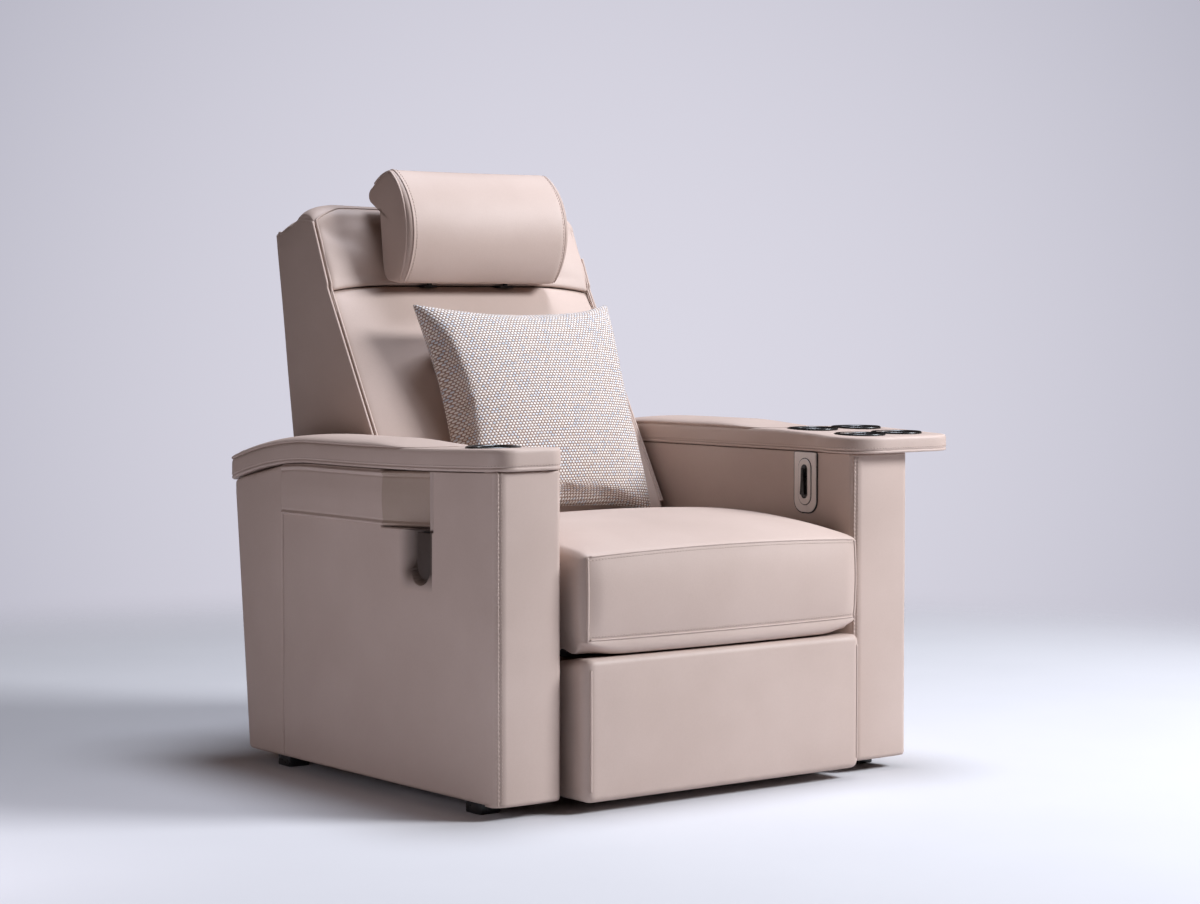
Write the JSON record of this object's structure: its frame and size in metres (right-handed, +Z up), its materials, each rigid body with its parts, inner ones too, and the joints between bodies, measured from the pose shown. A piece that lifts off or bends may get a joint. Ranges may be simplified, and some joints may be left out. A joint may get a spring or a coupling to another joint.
{
  "type": "power recliner chair",
  "caption": "Leather home-cinema recliner with box arms, a tray arm with cup wells, swing-out footrest, hinged back, tilting headrest and a woven throw pillow.",
  "frame": {"origin": "on the floor, under the middle of the chair's overall width and depth", "axes": "+Z up, the sitter faces -Y, +X is the side with the tray as seen from the front"},
  "size_m": [1.048, 1.0121, 1.116],
  "materials": {
    "taupe_leather": "smooth taupe leather",
    "black_plastic": "satin black",
    "champagne_metal": "champagne satin",
    "black_steel": "black powder coat",
    "motor_plastic": "moulded dark grey",
    "plain_wood": "bare plywood",
    "webbing": "woven elastic strap",
    "woven_fabric": "basket weave"
  },
  "bodies": {
    "base": {"seat_cushion": "taupe_leather", "left_side_band": "taupe_leather", "left_arm_outer_panel": "taupe_leather", "left_arm_inner_panel": "taupe_leather", "left_arm_front_panel": "taupe_leather", "left_arm_rear_panel": "taupe_leather", "left_arm_cap": "taupe_leather", "left_elbow_pad": "taupe_leather", "left_arm_posts": "plain_wood", "left_arm_rails": "plain_wood", "right_arm_outer_panel": "taupe_leather", "right_arm_inner_panel": "taupe_leather", "right_arm_front_panel": "taupe_leather", "right_arm_rear_panel": "taupe_leather", "right_arm_cap": "taupe_leather", "right_elbow_pad": "taupe_leather", "right_arm_posts": "plain_wood", "right_arm_rails": "plain_wood", "glide_feet": "black_plastic", "left_cup_holder": "black_plastic", "right_cup_holders": "black_plastic", "right_coasters": "black_plastic", "release_cup": "taupe_leather", "control_plate": "champagne_metal", "control_housing": "champagne_metal", "base_side_rails": "black_steel", "base_cross_tubes": "black_steel", "mechanism_side_plates": "black_steel", "seat_side_rails": "black_steel", "seat_cross_rails": "black_steel", "footrest_rail": "black_steel", "recline_rail": "black_steel", "footrest_motor": "motor_plastic", "recline_motor": "motor_plastic", "power_box": "motor_plastic", "seat_webbing": "webbing"},
    "front_link": {"front_links": "black_steel", "torque_tube": "black_steel", "footrest_lever": "black_steel"},
    "outer_link": {"outer_links": "black_steel"},
    "inner_link": {"inner_links": "black_steel"},
    "rear_link": {"rear_links": "black_steel"},
    "footrest": {"footrest_brackets": "black_steel", "footrest_board": "plain_wood", "footrest_pad": "taupe_leather"},
    "footrest_slider": {"footrest_carriage": "motor_plastic"},
    "recline_slider": {"recline_carriage": "motor_plastic"},
    "backrest": {"back_uprights": "black_steel", "back_cross_bars": "black_steel", "back_side_panels": "taupe_leather", "back_rear_panel": "taupe_leather", "back_lower_cushion": "taupe_leather", "back_upper_cushion": "taupe_leather", "recline_lever": "black_steel", "headrest_arms": "black_steel", "throw_pillow": "woven_fabric"},
    "headrest": {"headrest_rod": "black_steel", "headrest_pad": "taupe_leather"},
    "release": {"release_paddle": "black_plastic"},
    "control": {"control_lever": "black_plastic"}
  },
  "joints": [
    {"name": "footrest_extend", "type": "hinge", "parent": "base", "child": "front_link", "pos_m": [-0.054, -0.345, 0.2182], "axis": [-1, 0, 0], "range_deg": [0, 85]},
    {"name": "outer_link_turn", "type": "hinge", "parent": "front_link", "child": "outer_link", "pos_m": [-0.054, -0.32585, 0.04395], "axis": [-1, 0, 0], "range_deg": [-118.39, 1]},
    {"name": "inner_link_turn", "type": "hinge", "parent": "front_link", "child": "inner_link", "pos_m": [-0.054, -0.31638, 0.07764], "axis": [-1, 0, 0], "range_deg": [-118.39, 1]},
    {"name": "footrest_level", "type": "hinge", "parent": "outer_link", "child": "footrest", "pos_m": [-0.054, -0.36787, 0.20867], "axis": [-1, 0, 0], "range_deg": [-1, 118.39]},
    {"name": "rear_link_turn", "type": "hinge", "parent": "base", "child": "rear_link", "pos_m": [-0.054, -0.295, 0.2466], "axis": [-1, 0, 0], "range_deg": [-1, 80.08]},
    {"name": "footrest_drive", "type": "slide", "parent": "base", "child": "footrest_slider", "axis": [0, -1, 0], "range_m": [-0.001, 0.0956]},
    {"name": "back_recline", "type": "hinge", "parent": "base", "child": "backrest", "pos_m": [-0.054, 0.14, 0.344], "axis": [-1, 0, 0], "range_deg": [0, 40]},
    {"name": "recline_drive", "type": "slide", "parent": "base", "child": "recline_slider", "axis": [0, -1, 0], "range_m": [-0.001, 0.1173]},
    {"name": "headrest_tilt", "type": "hinge", "parent": "backrest", "child": "headrest", "pos_m": [-0.054, 0.297, 0.922], "axis": [1, 0, 0], "range_deg": [0, 30]},
    {"name": "release_swing", "type": "hinge", "parent": "base", "child": "release", "pos_m": [-0.5035, -0.2315, 0.461], "axis": [0, 1, 0], "range_deg": [0, 30], "stiffness_Nm_per_rad": 0.3},
    {"name": "control_rock", "type": "hinge", "parent": "base", "child": "control", "pos_m": [0.282, -0.33, 0.53], "axis": [0, 1, 0], "range_deg": [-5, 5], "stiffness_Nm_per_rad": 0.4}
  ],
  "couplings": [
    {"joint": "outer_link_turn", "follows": "footrest_extend", "ratio": -1.381},
    {"joint": "inner_link_turn", "follows": "footrest_extend", "ratio": -1.381},
    {"joint": "footrest_level", "follows": "footrest_extend", "ratio": 1.381},
    {"joint": "rear_link_turn", "follows": "footrest_extend", "ratio": 0.9303},
    {"joint": "footrest_drive", "follows": "footrest_extend", "m_per_rad": 0.06377},
    {"joint": "recline_drive", "follows": "back_recline", "m_per_rad": 0.16659}
  ]
}
